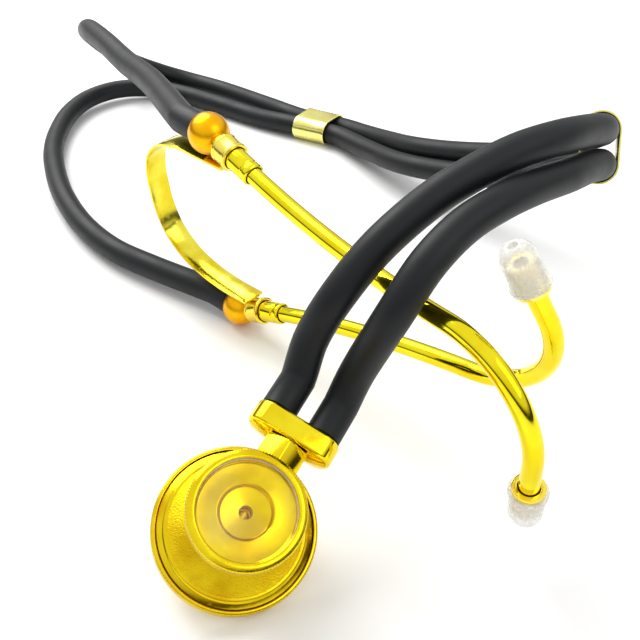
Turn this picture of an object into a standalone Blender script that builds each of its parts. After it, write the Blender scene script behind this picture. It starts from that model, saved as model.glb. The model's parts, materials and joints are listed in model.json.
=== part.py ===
"""Twin-hose stethoscope with a double-sided chestpiece and a leaf-sprung headset.

The model lies as it was put down: the chestpiece leans on its large ring at the
front, two rubber hoses arch up from it, pass through two clips, run along the
table behind and join the ball ends of the two crossed ear tubes.
Lengths are in millimetres here and are scaled to metres once, by MM.
"""

import math

import bmesh
import bpy
from mathutils import Matrix, Vector

MM = 0.001
GAP = 0.3                       # clearance between pieces that touch

# ---- where the assemblies stand -------------------------------------------------
SHIFT = Vector((-0.15, -221.02, 0.06))           # brings the metal parts' middle to the origin
CHEST_CENTRE = Vector((-21.1, 153.0, 26.9))     # where the head axis meets the stem axis
CHEST_AXIS = Vector((0.203, -0.493, 0.846))     # from the large head to the small head
STEM_AXIS = Vector((0.487, 0.801, 0.349))       # from the valve to the hose connector
HEADSET_CENTRE = Vector((-34.7, 275.5, 46.3))   # midway between the two balls
HEADSET_ACROSS = Vector((-0.078, -0.095, 0.992))    # from the right ball to the left ball
HEADSET_FORWARD = Vector((0.693, -0.721, -0.015))   # from the balls to the ear tips

# ---- chestpiece -----------------------------------------------------------------
DRUM_R = 8.5
DRUM_HALF = 5.5
NIPPLE_R = 4.5
NIPPLE_LENGTH = 3.4
CHANNEL_R = 1.6
STEM_R = 3.0
STEM_INNER_END = -3.5
STEM_OUTER_END = 27.8
STEM_BORE_R = 1.4
PORT_R = 1.1
COLLAR_R = 4.5
COLLAR_SPAN = (8.9, 15.5)
HEX_SPAN = (15.8, 24.2)
HEX_ACROSS_FLATS = 12.6
DETENT_Y = 3.4
DETENT_BALL_R = 1.1
DETENT_BORE_R = 1.4
LARGE_RING_R = 23.5
LARGE_RIM_R = 21.9
LARGE_RING_TOP = -11.8
LARGE_RING_BOTTOM = -17.4
SMALL_RING_R = 15.75
SMALL_RIM_R = 14.1
SMALL_RING_BOTTOM = 9.9
SMALL_RING_TOP = 14.5
LARGE_STEPS = 48
SMALL_STEPS = 36

# ---- hose connector and hoses ---------------------------------------------------
BAR_SPAN = (24.5, 31.5)
BAR_WIDTH = 12.0
HOSE_PITCH = 14.5               # between the two hoses at the connector
HOSE_R = 5.3
HOSE_BORE_R = 2.8
BARB_R = 2.3
BARB_BORE_R = 1.3
BARB_GRIP = 11.0                # how far a barb reaches into its hose
HOSE_SPACING = 15.0             # between the hose's cross-sections
PAIR_HALF = 5.65                # from the middle of the pair to each hose
CLIP_LENGTH = 20.0
CLIP_WALL = 0.8
CLIP_GAP = 0.5

# ---- headset --------------------------------------------------------------------
BALL_PITCH = 77.8
BALL_R = 7.25
FERRULE_R = 4.0
FERRULE_END = 26.0
EAR_TUBE_R = 3.0
EAR_TUBE_WALL = 0.8
EAR_TUBE_START = 8.0
LEG_BOW = math.radians(17.0)    # outward bow of an ear tube's long stretch
ELBOW_R = 30.0
END_LENGTH = 16.0
CUFF_SPAN = (8.5, 15.5)
CUFF_R = 5.3
SPRING_WIDTH = 9.0
SPRING_THICKNESS = 1.0
SPRING_HALF_WIDTH = 30.0
SPRING_DEPTH = 42.0
SPRING_FRONT = 10.0             # where its ends lie, ahead of the balls
ARM_LIFT = math.radians(5.3)    # how far each ear tube leaves the headset's plane
# side: (sign, long stretch, toe-in, elbow angle, twist of the elbow's plane)
ARMS = {
    "left": (1.0, 115.0, math.radians(4.2), math.radians(97.0), math.radians(2.0)),
    "right": (-1.0, 108.0, math.radians(10.9), math.radians(109.0), math.radians(-12.0)),
}

# ---- hand-placed hose route, before SHIFT ---------------------------------------
CLIP_1_CENTRE = Vector((96.2, 273.0, 79.0))
CLIP_1_AXIS = Vector((0.27, 0.87, -0.415))
CLIP_1_SIDE = Vector((0.017, 0.426, 0.905))
CLIP_2_CENTRE = Vector((-1.0, 460.5, 6.7))
CLIP_2_AXIS = Vector((-0.86, 0.51, 0.0))
CLIP_2_SIDE = Vector((0.51, 0.86, 0.0))
CLIP_RUN = 15.0                 # straight stretch each side of a clip's middle
ARCH_A = [(-2.4, 194.6, 56.3), (4.8, 195.6, 70.1), (15.7, 201.3, 82.5), (30.2, 210.0, 92.0),
          (44.0, 217.9, 97.2), (56.8, 225.0, 100.3), (70.6, 234.6, 100.0), (83.6, 250.0, 95.2)]
ARCH_B = [(10.9, 188.1, 49.6), (19.4, 184.3, 71.2), (28.4, 190.1, 84.3), (38.9, 200.3, 89.8),
          (49.5, 209.0, 91.9), (61.2, 219.6, 91.3), (74.0, 232.3, 88.6), (85.2, 248.0, 83.9)]
# middle of the pair, and the direction from hose B to hose A
PAIR = [((103.2, 306.5, 62.0), (0.10, 0.50, 0.86)), ((98.5, 331.0, 47.5), (0.20, 0.60, 0.78)),
        ((83.0, 352.0, 34.5), (0.32, 0.66, 0.68)), ((62.0, 373.0, 26.0), (0.49, 0.64, 0.58)),
        ((43.5, 396.0, 19.0), (0.63, 0.54, 0.455)), ((30.5, 422.5, 12.2), (0.75, 0.45, 0.26)),
        ((21.0, 440.0, 8.6), (0.80, 0.58, 0.10))]
TAIL_A = [(-32.0, 494.0, 5.7), (-60.5, 518.0, 6.0), (-84.0, 531.0, 7.5), (-103.0, 529.5, 14.0),
          (-117.0, 513.5, 26.5), (-124.5, 492.5, 42.5), (-125.5, 468.0, 57.5),
          (-117.5, 440.0, 67.5), (-103.0, 409.0, 71.5), (-85.5, 372.0, 74.5),
          (-68.0, 335.5, 79.0)]
TAIL_B = [(-36.0, 475.5, 5.7), (-58.0, 492.5, 5.6), (-82.0, 509.5, 5.8), (-104.0, 519.5, 6.4),
          (-125.0, 517.0, 7.0), (-140.0, 503.0, 7.0), (-147.5, 482.0, 6.4),
          (-148.5, 457.0, 5.8), (-145.0, 430.0, 5.6), (-137.0, 403.0, 5.6),
          (-125.5, 375.0, 5.6), (-110.0, 348.0, 5.7), (-92.0, 326.0, 6.2),
          (-71.5, 309.5, 7.0)]

# colour, roughness, metallic, alpha
FINISHES = {
    "polished_gold": ((0.95, 0.68, 0.12), 0.12, 1.0, 1.0),
    "knurled_gold": ((0.90, 0.62, 0.12), 0.32, 1.0, 1.0),
    "amber_gold": ((0.95, 0.50, 0.05), 0.16, 1.0, 1.0),
    "spring_gold": ((0.93, 0.76, 0.16), 0.20, 1.0, 1.0),
    "black_rubber": ((0.012, 0.013, 0.015), 0.55, 0.0, 1.0),
    "clear_vinyl": ((0.93, 0.94, 0.90), 0.25, 0.0, 0.55),
    "clear_film": ((0.90, 0.88, 0.80), 0.15, 0.0, 0.35),
    "white_gasket": ((0.86, 0.85, 0.80), 0.50, 0.0, 1.0),
    "spring_steel": ((0.55, 0.56, 0.58), 0.30, 1.0, 1.0),
}


# ---- helpers --------------------------------------------------------------------
def clear_scene():
    """Remove every object that is already in the file."""
    for old in list(bpy.data.objects):
        bpy.data.objects.remove(old, do_unlink=True)


def new_collection(name):
    """Make a collection in the scene."""
    made = bpy.data.collections.new(name)
    bpy.context.scene.collection.children.link(made)
    return made


def finish(name):
    """Return the material of a finish, made once."""
    found = bpy.data.materials.get(name)
    if found:
        return found
    colour, roughness, metallic, alpha = FINISHES[name]
    made = bpy.data.materials.new(name)
    made.use_nodes = True
    shader = made.node_tree.nodes["Principled BSDF"]
    shader.inputs["Base Color"].default_value = (*colour, 1.0)
    shader.inputs["Roughness"].default_value = roughness
    shader.inputs["Metallic"].default_value = metallic
    shader.inputs["Alpha"].default_value = alpha
    return made


def axes_matrix(place, along_z, along_y):
    """Return a placement in metres whose Z is along_z and whose Y leans to along_y."""
    z = along_z.normalized()
    y = (along_y - along_y.dot(z) * z).normalized()
    x = y.cross(z)
    turn = Matrix((x, y, z)).transposed().to_4x4()
    return Matrix.Translation(place * MM) @ turn


def empty(name, matrix):
    """Add an empty that carries a sub-assembly."""
    made = bpy.data.objects.new(name, None)
    made.empty_display_size = 0.01
    made.matrix_world = matrix
    PARTS.objects.link(made)
    return made


def place(made, parent, collection, look):
    """Put an object in its collection, under its parent, with its finish."""
    collection.objects.link(made)
    made.parent = parent
    if look:
        made.data.materials.append(finish(look))
        made.data.shade_smooth()
    return made


def hide_cutter(made):
    """Mark an object as a cutter."""
    made.hide_render = True
    made.display_type = "WIRE"
    return made


def spin(made, steps):
    """Turn an object's profile about its own Z axis."""
    screw = made.modifiers.new("turning", "SCREW")
    screw.axis = "Z"
    screw.angle = 2.0 * math.pi
    screw.steps = steps
    screw.render_steps = steps
    screw.use_merge_vertices = True
    screw.merge_threshold = 0.00001


def profile_mesh(name, profile):
    """Make a mesh of a profile's outline from (radius, height) pairs."""
    closed = profile[0][0] > 0.0
    points = [(radius * MM, 0.0, height * MM) for radius, height in profile]
    edges = [(i, i + 1) for i in range(len(points) - 1)]
    if closed:
        edges.append((len(points) - 1, 0))
    made = bpy.data.meshes.new(name)
    made.from_pydata(points, edges, [])
    return made


def turned(name, profile, steps, look, parent):
    """Add a turned piece; its profile runs down the outside and back up the inside."""
    made = bpy.data.objects.new(name, profile_mesh(name, profile))
    place(made, parent, PARTS, look)
    spin(made, steps)
    return made


def rod_cutter(name, radius, start, end, parent, steps=16):
    """Add a round cutter from one local point to another, under the same parent."""
    start, end = Vector(start), Vector(end)
    shape = bmesh.new()
    bmesh.ops.create_cone(shape, cap_ends=True, segments=steps, radius1=radius * MM,
                          radius2=radius * MM, depth=(end - start).length * MM)
    made = bpy.data.objects.new(name, bpy.data.meshes.new(name))
    shape.to_mesh(made.data)
    shape.free()
    place(made, parent, CUTTERS, None)
    made.location = (start + end) * 0.5 * MM
    made.rotation_mode = "QUATERNION"
    made.rotation_quaternion = (end - start).to_track_quat("Z", "Y")
    return hide_cutter(made)


def cut(piece, cutter):
    """Cut a piece with a cutter."""
    boolean = piece.modifiers.new(cutter.name, "BOOLEAN")
    boolean.operation = "DIFFERENCE"
    boolean.solver = "EXACT"
    boolean.object = cutter


def bevel(piece, width, segments=1):
    """Round or chamfer a piece's sharp edges."""
    rounding = piece.modifiers.new("edges", "BEVEL")
    rounding.width = width * MM
    rounding.segments = segments
    rounding.limit_method = "ANGLE"
    rounding.angle_limit = math.radians(40.0)


def curve_object(name, splines, cyclic, dimensions):
    """Add a curve object of straight-sided splines, its points in millimetres."""
    data = bpy.data.curves.new(name, "CURVE")
    data.dimensions = dimensions
    for points in splines:
        spline = data.splines.new("POLY")
        spline.points.add(len(points) - 1)
        for slot, point in zip(spline.points, points):
            slot.co = (*(Vector(point).to_3d() * MM), 1.0)
        spline.use_cyclic_u = cyclic
    made = bpy.data.objects.new(name, data)
    PARTS.objects.link(made)
    return made


def as_mesh(curve, parent, look):
    """Replace a curve object by a mesh object of the same name with its caps welded."""
    name = curve.name
    bpy.context.view_layer.update()
    seen = curve.evaluated_get(bpy.context.evaluated_depsgraph_get())
    data = bpy.data.meshes.new_from_object(seen)
    bpy.data.objects.remove(curve, do_unlink=True)
    shape = bmesh.new()
    shape.from_mesh(data)
    bmesh.ops.remove_doubles(shape, verts=shape.verts, dist=0.000001)
    bmesh.ops.recalc_face_normals(shape, faces=shape.faces)
    shape.to_mesh(data)
    shape.free()
    data.name = name
    made = bpy.data.objects.new(name, data)
    return place(made, parent, PARTS, look)


def plate(name, outlines, height, look, parent):
    """Add a flat piece of one or more closed outlines, centred on its own plane."""
    curve = curve_object(name, outlines, True, "2D")
    curve.data.fill_mode = "BOTH"
    curve.data.extrude = 0.5 * height * MM
    return as_mesh(curve, parent, look)


def pipe(name, points, radius, wall, sides, look, parent):
    """Add a hollow tube along points, with its ends open and its wall inwards."""
    curve = curve_object(name, [points], False, "3D")
    curve.data.bevel_depth = radius * MM
    curve.data.bevel_resolution = sides // 2 - 2
    curve.data.use_fill_caps = False
    curve.data.twist_mode = "MINIMUM"
    made = as_mesh(curve, parent, look)
    shell = made.modifiers.new("wall", "SOLIDIFY")
    shell.thickness = wall * MM
    shell.offset = -1.0
    shell.use_even_offset = False
    return made


def stadium(length, width, steps):
    """Return the outline of a bar with round ends, length along X."""
    radius = 0.5 * width
    reach = 0.5 * length - radius
    points = []
    for side in (1.0, -1.0):
        for i in range(steps + 1):
            angle = math.pi * (i / steps - 0.5 * side)
            points.append((side * reach + radius * math.cos(angle), radius * math.sin(angle)))
    return points


def smooth_path(points, spacing, straight=0):
    """Read evenly spaced points from a smooth curve through the given ones.

    The first and the last few stretches may be straight: only their ends are kept.
    """
    knots = [Vector(point) for point in points]
    first = 2.0 * knots[0] - knots[1]
    last = 2.0 * knots[-1] - knots[-2]
    padded = [first] + knots + [last]
    fine = []
    for i in range(1 + straight, len(padded) - 2 - straight):
        p0, p1, p2, p3 = padded[i - 1:i + 3]
        for k in range(20):
            t = k / 20.0
            fine.append(0.5 * (2.0 * p1 + (p2 - p0) * t
                               + (2.0 * p0 - 5.0 * p1 + 4.0 * p2 - p3) * t ** 2
                               + (3.0 * p1 - p0 - 3.0 * p2 + p3) * t ** 3))
    fine.append(knots[-1 - straight])
    lengths = [0.0]
    for before, after in zip(fine, fine[1:]):
        lengths.append(lengths[-1] + (after - before).length)
    count = max(2, round(lengths[-1] / spacing))
    even = []
    step = 0
    for i in range(count + 1):
        goal = lengths[-1] * i / count
        while step < len(fine) - 2 and lengths[step + 1] < goal:
            step += 1
        share = (goal - lengths[step]) / (lengths[step + 1] - lengths[step])
        even.append(fine[step].lerp(fine[step + 1], min(1.0, share)))
    if straight:
        even = [knots[0]] + even + [knots[-1]]
    return even


def arc(radius, start, end, steps):
    """Return (radius, height) points on a circle about the origin, angles from +Z."""
    return [(radius * math.sin(start + (end - start) * i / steps),
             radius * math.cos(start + (end - start) * i / steps)) for i in range(steps + 1)]


# ---- chestpiece -----------------------------------------------------------------
def valve_drum(parent):
    """The middle block: a nipple each way, the stem's cross bore and the click pocket."""
    top = DRUM_HALF + NIPPLE_LENGTH
    profile = [(CHANNEL_R, top), (NIPPLE_R, top), (NIPPLE_R, DRUM_HALF),
               (DRUM_R - 0.6, DRUM_HALF), (DRUM_R, DRUM_HALF - 0.6),
               (DRUM_R, -DRUM_HALF + 0.6), (DRUM_R - 0.6, -DRUM_HALF),
               (NIPPLE_R, -DRUM_HALF), (NIPPLE_R, -top), (CHANNEL_R, -top)]
    drum = turned("valve_drum", profile, 32, "polished_gold", parent)
    bore = STEM_R + GAP
    cut(drum, rod_cutter("stem_bore", bore, (0, STEM_INNER_END - GAP, 0),
                         (0, DRUM_R + 2.0, 0), parent, 20))
    cut(drum, rod_cutter("click_bore", DETENT_BORE_R, (-DRUM_R - 2.0, DETENT_Y, 0),
                         (0, DETENT_Y, 0), parent, 12))


def click_stop(parent):
    """The ball, spring and plug that hold the head at either side."""
    ball_x = -(STEM_R + GAP + 0.1 + DETENT_BALL_R)
    shape = bmesh.new()
    bmesh.ops.create_uvsphere(shape, u_segments=10, v_segments=6, radius=DETENT_BALL_R * MM)
    ball = bpy.data.objects.new("click_ball", bpy.data.meshes.new("click_ball"))
    shape.to_mesh(ball.data)
    shape.free()
    place(ball, parent, PARTS, "spring_steel")
    ball.location = Vector((ball_x, DETENT_Y, 0)) * MM

    start = ball_x - DETENT_BALL_R - GAP
    length, turns, coil_r, wire_r, per_turn = 1.2, 2.0, 0.85, 0.16, 8
    points = []
    for i in range(int(turns * per_turn) + 1):
        angle = 2.0 * math.pi * i / per_turn
        along = start - wire_r - (length - 2.0 * wire_r) * i / (turns * per_turn)
        points.append((along, DETENT_Y + coil_r * math.cos(angle), coil_r * math.sin(angle)))
    coil = curve_object("click_spring", [points], False, "3D")
    coil.data.bevel_depth = wire_r * MM
    coil.data.bevel_resolution = 1
    coil.data.use_fill_caps = True
    as_mesh(coil, parent, "spring_steel")

    inner = -(start - length - GAP)
    outer = math.sqrt(DRUM_R ** 2 - DETENT_Y ** 2) - 0.3
    radius = DETENT_BORE_R - GAP
    profile = [(0.0, outer), (radius, outer), (radius, inner), (0.0, inner)]
    plug = turned("click_plug", profile, 12, "polished_gold", parent)
    plug.location = Vector((0.0, DETENT_Y, 0.0)) * MM
    plug.rotation_euler = (0.0, math.radians(-90.0), 0.0)


def large_head(parent):
    """The large cup with its gasket and diaphragm."""
    neck = -DRUM_HALF - GAP
    profile = [(NIPPLE_R + GAP, neck), (9.2, neck), (10.4, neck - 0.9), (13.0, -8.0),
               (16.6, -9.6), (20.2, -11.2), (LARGE_RIM_R, -12.1), (LARGE_RIM_R, -14.9),
               (20.3, -14.9), (19.6, -13.9), (8.0, -12.2), (CHANNEL_R, -11.6),
               (CHANNEL_R, -9.3), (NIPPLE_R + GAP, -9.3)]
    turned("large_cup", profile, LARGE_STEPS, "polished_gold", parent)
    ring_gap = LARGE_RIM_R - 0.2
    turned("large_gasket", [(20.3, -15.2), (ring_gap, -15.2), (ring_gap, -15.7), (20.3, -15.7)],
           LARGE_STEPS, "white_gasket", parent)
    turned("large_diaphragm", [(0.0, -16.0), (ring_gap, -16.0), (ring_gap, -16.4), (0.0, -16.4)],
           LARGE_STEPS, "clear_film", parent)


def large_ring(parent):
    """The large screwed ring that holds the diaphragm; it turns about the head axis."""
    top, bottom, outer = LARGE_RING_TOP, LARGE_RING_BOTTOM, LARGE_RING_R
    inner = LARGE_RIM_R + GAP
    profile = [(inner, top), (outer - 0.5, top), (outer, top - 0.5), (outer, bottom + 0.5),
               (outer - 0.5, bottom), (20.0, bottom), (20.0, bottom + 0.7),
               (inner, bottom + 0.7)]
    turned("large_retaining_ring", profile, LARGE_STEPS, "knurled_gold", parent)


def small_head(parent):
    """The small cup with its gasket and diaphragm."""
    neck = DRUM_HALF + GAP
    rim = SMALL_RIM_R
    profile = [(CHANNEL_R, 9.3), (CHANNEL_R + 0.2, 9.9), (6.9, 9.9), (7.3, 11.0), (13.0, 11.0),
               (13.3, 12.2), (rim, 12.2), (rim, 9.6), (15.2, 9.6), (15.2, 7.6), (14.6, 7.3),
               (9.2, neck), (NIPPLE_R + GAP, neck), (NIPPLE_R + GAP, 9.3)]
    turned("small_cup", profile, SMALL_STEPS, "polished_gold", parent)
    turned("small_gasket", [(13.2, 12.95), (rim, 12.95), (rim, 12.5), (13.2, 12.5)],
           SMALL_STEPS, "white_gasket", parent)
    turned("small_diaphragm", [(0.0, 13.55), (rim, 13.55), (rim, 13.25), (0.0, 13.25)],
           SMALL_STEPS, "clear_film", parent)


def small_ring(parent):
    """The small screwed ring that holds the diaphragm; it turns about the head axis."""
    top, bottom, outer = SMALL_RING_TOP, SMALL_RING_BOTTOM, SMALL_RING_R
    inner = SMALL_RIM_R + GAP
    profile = [(13.2, top), (outer - 0.5, top), (outer, top - 0.5), (outer, bottom),
               (inner, bottom), (inner, top - 0.65), (13.2, top - 0.65)]
    turned("small_retaining_ring", profile, SMALL_STEPS, "knurled_gold", parent)


def valve_stem(parent):
    """The hollow spindle that the head turns on; its inner end is closed."""
    radius = STEM_R
    profile = [(STEM_BORE_R, STEM_OUTER_END), (radius, STEM_OUTER_END),
               (radius, COLLAR_SPAN[1]), (COLLAR_R, COLLAR_SPAN[1]), (COLLAR_R, COLLAR_SPAN[0]),
               (radius, COLLAR_SPAN[0]), (radius, STEM_INNER_END + 0.3),
               (radius - 0.3, STEM_INNER_END), (0.0, STEM_INNER_END)]
    inside = [(0.0, STEM_INNER_END + 1.5), (STEM_BORE_R, STEM_INNER_END + 1.5)]
    made = bpy.data.objects.new("valve_stem", bpy.data.meshes.new("valve_stem"))
    points = [(r * MM, 0.0, z * MM) for r, z in profile + inside]
    # the outer run ends on the axis, and the inner run starts on it again
    edges = [(i, i + 1) for i in range(len(profile) - 1)]
    edges += [(len(profile), len(profile) + 1), (len(profile) + 1, 0)]
    made.data.from_pydata(points, edges, [])
    place(made, parent, PARTS, "polished_gold")
    spin(made, 20)
    made.rotation_euler = (math.radians(-90.0), 0.0, 0.0)
    cut(made, rod_cutter("sound_port", PORT_R, (0, 0, 0), (0, 0, STEM_R + 2.0), parent, 10))


def hex_collar(parent):
    """The hexagonal neck block between the head and the connector."""
    low, high = HEX_SPAN
    shape = bmesh.new()
    corner = 0.5 * HEX_ACROSS_FLATS / math.cos(math.radians(30.0))
    bmesh.ops.create_cone(shape, cap_ends=True, segments=6, radius1=corner * MM,
                          radius2=corner * MM, depth=(high - low) * MM)
    made = bpy.data.objects.new("hex_collar", bpy.data.meshes.new("hex_collar"))
    shape.to_mesh(made.data)
    shape.free()
    place(made, parent, PARTS, "polished_gold")
    made.location = Vector((0.0, 0.5 * (low + high), 0.0)) * MM
    made.rotation_euler = (math.radians(-90.0), 0.0, 0.0)
    bevel(made, 0.5)
    cut(made, rod_cutter("collar_bore", STEM_R + GAP, (0, low - 1.0, 0), (0, high + 1.0, 0),
                         parent, 20))


def hose_connector(parent):
    """The cross bar that splits the stem's bore to the two hoses, and its barbs."""
    low, high = BAR_SPAN
    bar = plate("hose_connector", [stadium(HOSE_PITCH + BAR_WIDTH, BAR_WIDTH, 8)], high - low,
                "polished_gold", parent)
    bar.location = Vector((0.0, 0.5 * (low + high), 0.0)) * MM
    bar.rotation_euler = (math.radians(-90.0), 0.0, 0.0)
    bevel(bar, 0.7)
    half = 0.5 * HOSE_PITCH
    cut(bar, rod_cutter("stem_socket", STEM_R + GAP, (0, low - 1.0, 0),
                        (0, STEM_OUTER_END + GAP, 0), parent, 20))
    for side, x in (("a", -half), ("b", half)):
        cut(bar, rod_cutter("barb_socket_" + side, BARB_R + GAP, (x, high - 5.0, 0),
                            (x, high + 1.0, 0), parent, 16))
        profile = [(BARB_BORE_R, high + BARB_GRIP), (BARB_R - 0.5, high + BARB_GRIP),
                   (BARB_R, high + BARB_GRIP - 1.5), (BARB_R - 0.4, high + BARB_GRIP - 2.0),
                   (BARB_R - 0.4, high + 4.5), (BARB_R, high + 3.5), (BARB_R, high - 4.7),
                   (BARB_BORE_R, high - 4.7)]
        barb = turned("chest_barb_" + side, profile, 14, "polished_gold", parent)
        barb.location = Vector((x, 0.0, 0.0)) * MM
        barb.rotation_euler = (math.radians(-90.0), 0.0, 0.0)
    cut(bar, rod_cutter("cross_channel", STEM_BORE_R, (-half, STEM_OUTER_END, 0),
                        (half, STEM_OUTER_END, 0), parent, 10))


# ---- headset --------------------------------------------------------------------
def arm_path(side):
    """Return an ear tube's middle line in the headset's frame, from its ball's centre."""
    sign, leg, toe_in, elbow, twist = ARMS[side]
    heading = toe_in + 0.5 * LEG_BOW
    flat = [(0.0, 0.0)]

    def go(length, turn, steps):
        """Extend the flat line by a stretch that turns evenly."""
        nonlocal heading
        for _ in range(steps):
            heading += 0.5 * turn / steps
            x, y = flat[-1]
            flat.append((x - math.sin(heading) * length / steps,
                         y + math.cos(heading) * length / steps))
            heading += 0.5 * turn / steps

    first = heading
    go(FERRULE_END, 0.0, 1)
    go(leg - FERRULE_END, -LEG_BOW, 6)
    go(ELBOW_R * elbow, elbow, 10)
    go(END_LENGTH, 0.0, 1)
    # the whole arm is twisted about its own first direction, and lifted off the plane
    ahead = Vector((-math.sin(first), math.cos(first), 0.0))
    outward = Vector((math.cos(first), math.sin(first), 0.0))
    line = []
    for x, y in flat:
        point = Vector((x, y, 0.0))
        run, inward = point.dot(ahead), -point.dot(outward)
        bent = ahead * run - outward * inward * math.cos(twist)
        bent.z = inward * math.sin(twist)
        bent = Matrix.Rotation(-sign * ARM_LIFT, 3, "X") @ bent
        line.append(Vector((sign * (0.5 * BALL_PITCH + bent.x), bent.y, bent.z)))
    return line


def arm(side, frame):
    """One ear tube with its ball, barb, sleeve, cuff and tip, in world axes."""
    line = [frame @ (point * MM) / MM for point in arm_path(side)]
    ball_centre = line[0]
    ahead = (line[1] - line[0]).normalized()
    plane = frame.to_3x3() @ Vector((0.0, 0.0, 1.0))
    level = Vector((ahead.x, ahead.y, 0.0)).normalized()
    base = empty(side + "_ball_frame", axes_matrix(ball_centre, level, plane))
    open_arm = empty(side + "_arm_frame", axes_matrix(ball_centre, ahead, plane))

    hose_side = math.asin(HOSE_R / BALL_R)
    seat = -BALL_R * math.cos(hose_side)
    ball = arc(BALL_R, math.asin(CHANNEL_R / BALL_R), math.pi - hose_side, 9)
    ball += [(BARB_R + GAP, seat), (BARB_R + GAP, -2.0), (CHANNEL_R, -2.0)]
    turned(side + "_ball", ball, 20, "amber_gold", base)
    grip = seat - BARB_GRIP
    barb = [(BARB_BORE_R, -2.0 - GAP), (BARB_R, -2.0 - GAP), (BARB_R, grip + 4.0),
            (BARB_R - 0.4, grip + 3.5), (BARB_R - 0.4, grip + 2.0), (BARB_R, grip + 1.5),
            (BARB_R - 0.5, grip), (BARB_BORE_R, grip)]
    turned(side + "_barb", barb, 14, "polished_gold", base)

    socket = BALL_R + GAP
    inner = EAR_TUBE_R + GAP
    sleeve = [(inner, FERRULE_END), (FERRULE_R - 0.3, FERRULE_END),
              (FERRULE_R, FERRULE_END - 0.4)]
    sleeve += [(FERRULE_R, math.sqrt(socket ** 2 - FERRULE_R ** 2)),
               (inner, math.sqrt(socket ** 2 - inner ** 2))]
    turned(side + "_ferrule", sleeve, 16, "polished_gold", open_arm)
    low, high = CUFF_SPAN
    cuff = [(FERRULE_R + GAP, high), (CUFF_R, high), (CUFF_R, low), (FERRULE_R + GAP, low)]
    turned(side + "_cuff", cuff, 16, "spring_gold", open_arm)

    start = ball_centre + ahead * EAR_TUBE_START
    pipe(side + "_ear_tube", [start] + line[1:], EAR_TUBE_R, EAR_TUBE_WALL, 10,
         "polished_gold", None)

    end_ahead = (line[-1] - line[-2]).normalized()
    tip = empty(side + "_tip_frame", axes_matrix(line[-1], end_ahead, plane))
    core = [(2.0, 4.0), (3.7, 4.0), (4.2, 3.5), (4.2, -4.6), (4.9, -4.6), (4.9, -6.0),
            (inner, -6.0), (inner, GAP), (2.0, GAP)]
    turned(side + "_tip_core", core, 16, "polished_gold", tip)
    dome = [(1.4, 9.7), (2.4, 9.5), (3.6, 8.8), (4.6, 7.4), (5.05, 5.4), (5.15, -2.6),
            (5.8, -3.0), (5.8, -4.3), (4.5, -4.3), (4.5, 4.3), (1.4, 5.2)]
    turned(side + "_ear_tip", dome, 20, "clear_vinyl", tip)
    return ball_centre, level


def spring_end(side):
    """Return how far from the middle the leaf ends, against the inside of a cuff."""
    _, _, toe_in, _, _ = ARMS[side]
    heading = toe_in + 0.5 * LEG_BOW
    cuff_inside = (0.5 * BALL_PITCH - SPRING_FRONT * math.tan(heading)
                   - CUFF_R / math.cos(heading))
    return cuff_inside - GAP - 0.5 * SPRING_THICKNESS


def leaf_spring(frame):
    """The U-shaped leaf that draws the two arms together, behind the balls."""
    half, depth = SPRING_HALF_WIDTH, SPRING_DEPTH
    bend = [(half, -4.0), (0.975 * half, -0.4 * depth), (0.86 * half, -0.68 * depth),
            (0.6 * half, -0.9 * depth), (0.27 * half, -0.99 * depth)]
    knots = [(spring_end("left"), SPRING_FRONT)] + bend + [(0.0, -depth)]
    knots += [(-x, y) for x, y in reversed(bend)]
    knots.append((-spring_end("right"), SPRING_FRONT))
    points = [point.to_2d() for point in smooth_path([Vector(k).to_3d() for k in knots], 6.0)]
    ribbon = curve_object("leaf_spring", [points], False, "2D")
    ribbon.data.fill_mode = "NONE"
    ribbon.data.extrude = 0.5 * SPRING_WIDTH * MM
    made = as_mesh(ribbon, None, "spring_gold")
    made.matrix_world = frame
    shell = made.modifiers.new("leaf", "SOLIDIFY")
    shell.thickness = SPRING_THICKNESS * MM
    shell.offset = 0.0
    shell.use_even_offset = True


# ---- hoses and clips ------------------------------------------------------------
def beside(centre, side_way, sign):
    """Return the point of one hose beside the middle of the pair."""
    return centre + sign * PAIR_HALF * side_way.normalized()


def clip_run(centre, axis, side_way, sign):
    """Return a hose's points on its straight stretch through a clip."""
    axis = axis.normalized()
    return [beside(centre + axis * share * CLIP_RUN, side_way, sign) for share in (-1, 0, 1)]


def hose_route(sign, chest, ball_centre, ball_ahead):
    """Return a hose's route points, sign +1 for hose A and -1 for hose B."""
    arch, tail = (ARCH_A, TAIL_A) if sign > 0 else (ARCH_B, TAIL_B)
    x = -sign * 0.5 * HOSE_PITCH
    start = BAR_SPAN[1] + GAP
    route = [(chest @ (Vector((x, start + run, 0.0)) * MM)) / MM
             for run in (0.0, 0.5 * BARB_GRIP, BARB_GRIP)]
    route += [Vector(point) + SHIFT for point in arch]
    route += clip_run(CLIP_1_CENTRE + SHIFT, CLIP_1_AXIS, CLIP_1_SIDE, sign)
    route += [beside(Vector(point) + SHIFT, Vector(way), sign) for point, way in PAIR]
    route += clip_run(CLIP_2_CENTRE + SHIFT, CLIP_2_AXIS, CLIP_2_SIDE, sign)
    route += [Vector(point) + SHIFT for point in tail]
    seat = math.sqrt(BALL_R ** 2 - HOSE_R ** 2) + GAP
    route += [ball_centre - ball_ahead * (seat + BARB_GRIP * share) for share in (1.0, 0.5, 0.0)]
    return route


def hose(name, route):
    """One rubber hose, hollow from end to end."""
    path = smooth_path(route, HOSE_SPACING, 2)
    pipe(name, path, HOSE_R, HOSE_R - HOSE_BORE_R, 8, "black_rubber", None)


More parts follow.
